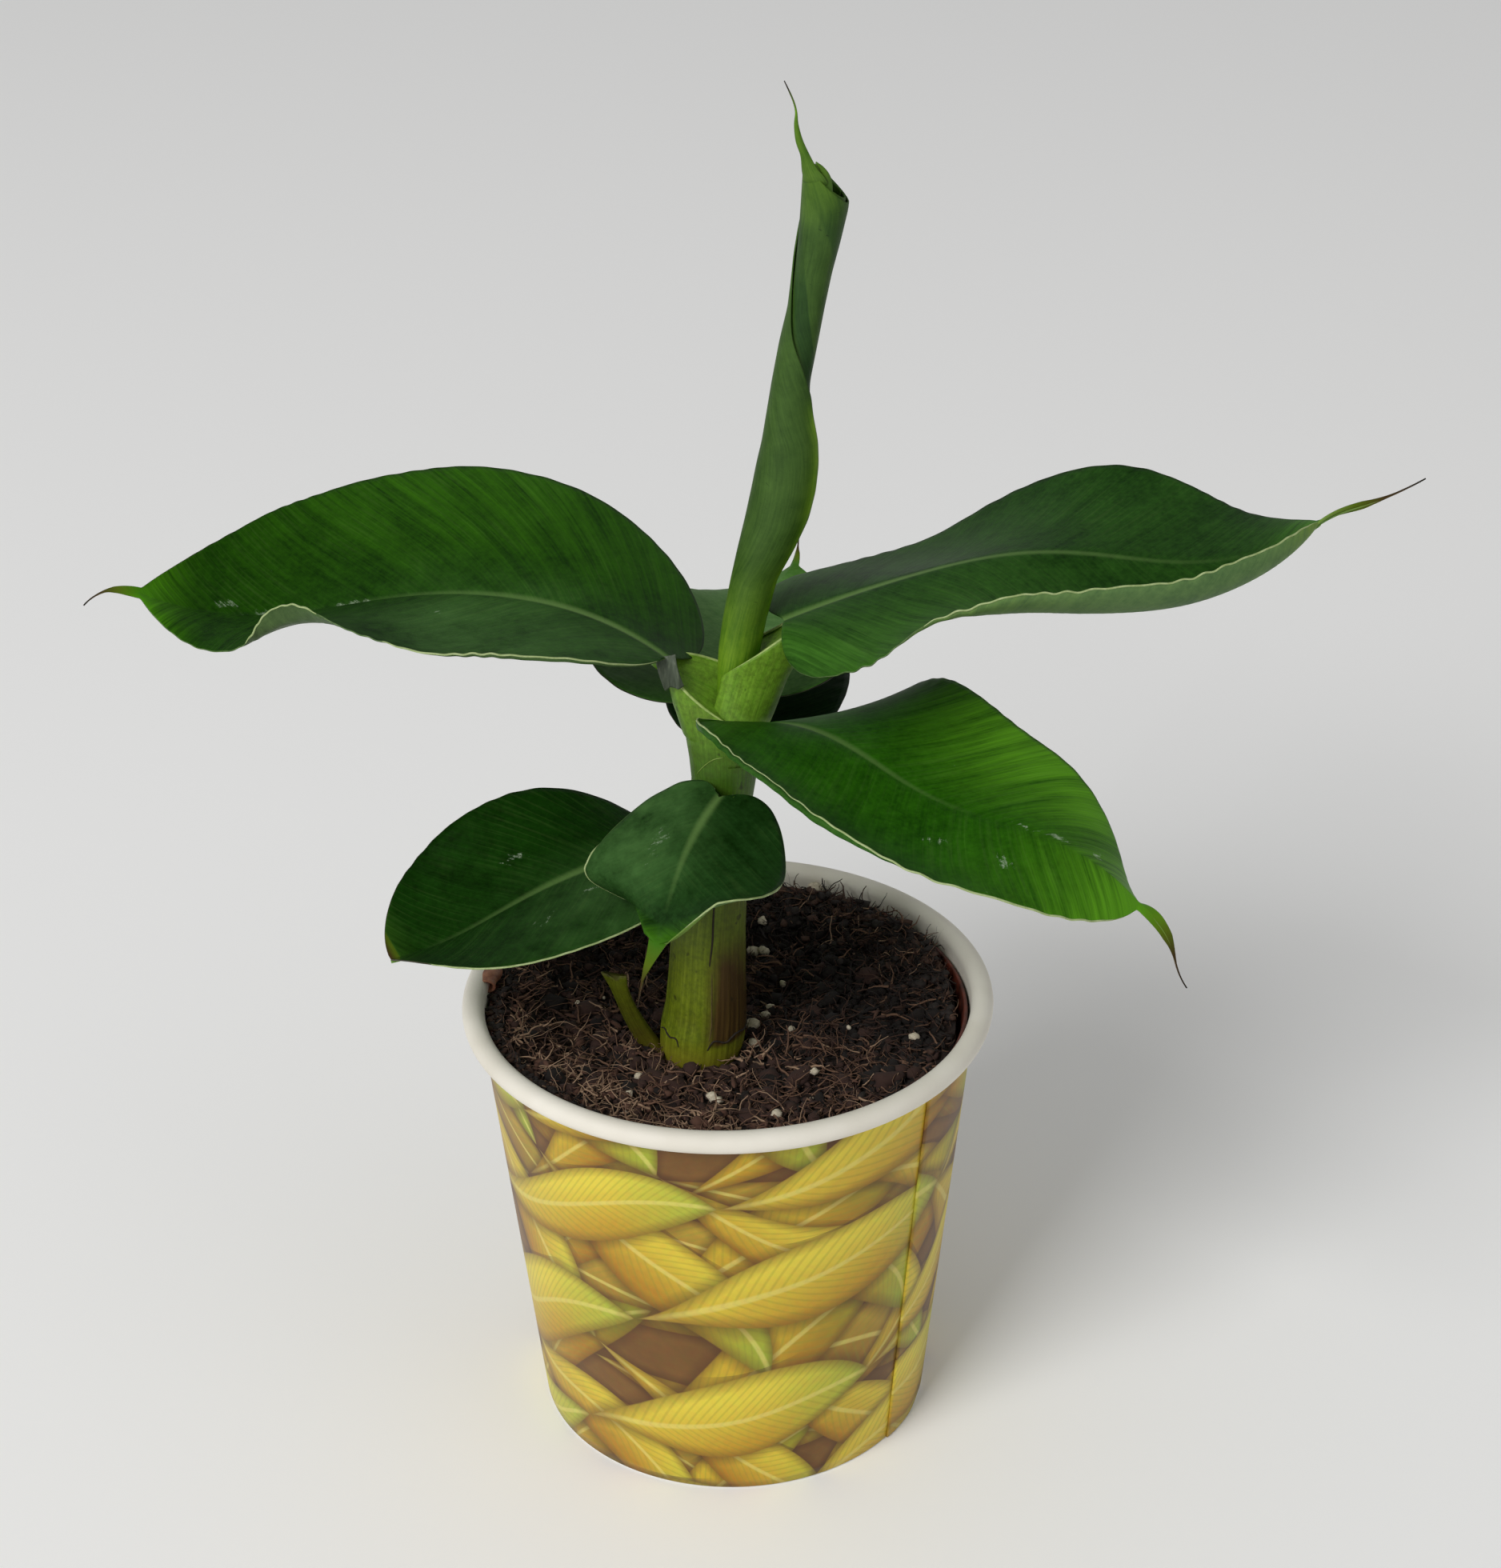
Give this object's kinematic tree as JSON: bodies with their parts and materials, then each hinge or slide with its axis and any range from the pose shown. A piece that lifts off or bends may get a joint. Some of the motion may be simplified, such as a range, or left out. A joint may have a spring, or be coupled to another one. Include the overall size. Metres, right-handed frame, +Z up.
{
  "type": "young banana plant in a printed paper pot",
  "caption": "Young potted banana plant: leaning green stem, one rolled upright leaf, broad paddle leaves with drawn-out tips, coir soil and a white-rimmed printed paper pot.",
  "frame": {"origin": "centre of the paper pot's flat underside", "axes": "+Z up, +X to the right of the picture, +Y away from the camera; the pot's axis is +Z"},
  "size_m": [0.3141, 0.1721, 0.347],
  "materials": {
    "printed_paper": "satin varnished print, white rolled rim",
    "terracotta_plastic": "matte thin grower's pot",
    "coir_soil": "moist peat and coir with white grains",
    "green_stem": "smooth ribbed leaf sheaths",
    "young_leaf": "matte rolled leaf",
    "green_leaf": "satin leaf"
  },
  "bodies": {
    "root": {"paper_pot": "printed_paper", "nursery_pot": "terracotta_plastic", "soil": "coir_soil", "pseudostem": "green_stem", "cut_stub": "green_stem", "leaf_rolled": "young_leaf", "leaf_upper_right": "green_leaf", "leaf_upper_left": "green_leaf", "leaf_front_right": "green_leaf", "leaf_front_small": "green_leaf", "leaf_lower_left": "green_leaf", "leaf_back_upper": "green_leaf", "leaf_back_lower": "green_leaf"}
  },
  "joints": []
}
